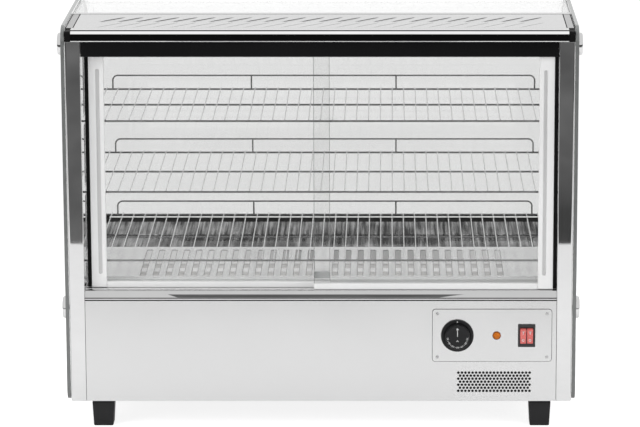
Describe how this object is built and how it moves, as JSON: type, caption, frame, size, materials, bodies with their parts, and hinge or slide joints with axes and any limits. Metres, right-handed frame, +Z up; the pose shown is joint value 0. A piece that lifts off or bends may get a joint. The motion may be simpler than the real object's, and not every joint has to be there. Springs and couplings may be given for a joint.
{
  "type": "heated display case",
  "caption": "Countertop heated display case with sliding glass doors, a curved glass customer side, wire shelves, a louvred top and a thermostat panel.",
  "frame": {"origin": "middle of the bounding box in X and Y, at the soles of the feet", "axes": "+X to the right as seen from the operator's side with the doors, +Y towards the curved customer's side, +Z up"},
  "size_m": [0.87, 0.585, 0.686],
  "materials": {
    "clear_glass": "clear polished float glass",
    "lamp_glass": "frosted lamp tube",
    "bright_steel": "polished stainless steel",
    "steel_sheet": "satin stainless steel sheet",
    "chromed_wire": "bright chromed wire",
    "aluminium_profile": "satin anodised",
    "black_gloss": "smooth black plastic",
    "black_matte": "dull black plastic",
    "control_black": "fine-grained black plastic with white marks",
    "rocker_red": "clear red plastic lit from inside",
    "rubber_strip": "soft black rubber",
    "lamp_amber": "clear amber lamp lens",
    "element_steel": "heat-tinted stainless tube",
    "ceramic": "white glazed ceramic"
  },
  "bodies": {
    "cabinet": {"back_deck": "bright_steel", "base_floor": "steel_sheet", "base_front_panel": "steel_sheet", "base_sides": "steel_sheet", "bottom_brackets": "steel_sheet", "bottom_shelf": "chromed_wire", "ceiling_panel": "steel_sheet", "control_plate": "steel_sheet", "cord_gland": "black_matte", "corner_post_left": "bright_steel", "corner_post_right": "bright_steel", "curved_glass": "clear_glass", "customer_panel": "steel_sheet", "deck_corners": "steel_sheet", "deck_plate": "steel_sheet", "element_holders": "steel_sheet", "foot_back_left": "black_matte", "foot_back_right": "black_matte", "foot_front_left": "black_matte", "foot_front_right": "black_matte", "front_sill": "bright_steel", "glass_caps": "bright_steel", "glass_channel": "steel_sheet", "glass_seat": "black_matte", "header_panel": "black_gloss", "heating_elements": "element_steel", "indicator_lamp": "lamp_amber", "lamp_holders": "ceramic", "lamp_tube": "lamp_glass", "middle_brackets": "steel_sheet", "middle_shelf": "chromed_wire", "nose_caps": "black_matte", "reflector_pan": "steel_sheet", "sensor_bulb": "element_steel", "shelf_uprights": "steel_sheet", "side_glass_left": "clear_glass", "side_glass_right": "clear_glass", "switch_frame": "control_black", "terminal_block": "ceramic", "thermostat_bezel": "control_black", "thermostat_body": "black_matte", "top_brackets": "steel_sheet", "top_cover": "steel_sheet", "top_nose": "bright_steel", "top_rails": "steel_sheet", "top_shelf": "chromed_wire", "upper_track": "aluminium_profile"},
    "left_door": {"left_door_glass": "clear_glass", "left_door_handle": "aluminium_profile", "left_door_bumper": "rubber_strip", "left_door_runner": "aluminium_profile"},
    "right_door": {"right_door_glass": "clear_glass", "right_door_handle": "aluminium_profile", "right_door_bumper": "rubber_strip", "right_door_runner": "aluminium_profile", "door_spacer": "rubber_strip"},
    "dial": {"thermostat_dial": "control_black"},
    "rocker_left": {"rocker_left": "rocker_red"},
    "rocker_right": {"rocker_right": "rocker_red"}
  },
  "joints": [
    {"name": "left_door_slide", "type": "slide", "parent": "cabinet", "child": "left_door", "axis": [1, 0, 0], "range_m": [-0.004, 0.379]},
    {"name": "right_door_slide", "type": "slide", "parent": "cabinet", "child": "right_door", "axis": [1, 0, 0], "range_m": [-0.383, 0]},
    {"name": "dial_turn", "type": "hinge", "parent": "cabinet", "child": "dial", "pos_m": [0.2289, -0.2842, 0.1623], "axis": [0, 1, 0], "range_deg": [0, 240]},
    {"name": "rocker_left_tilt", "type": "hinge", "parent": "cabinet", "child": "rocker_left", "pos_m": [0.3396, -0.2717, 0.1623], "axis": [-1, 0, 0], "range_deg": [0, 18]},
    {"name": "rocker_right_tilt", "type": "hinge", "parent": "cabinet", "child": "rocker_right", "pos_m": [0.351, -0.2717, 0.1623], "axis": [-1, 0, 0], "range_deg": [0, 18]}
  ]
}
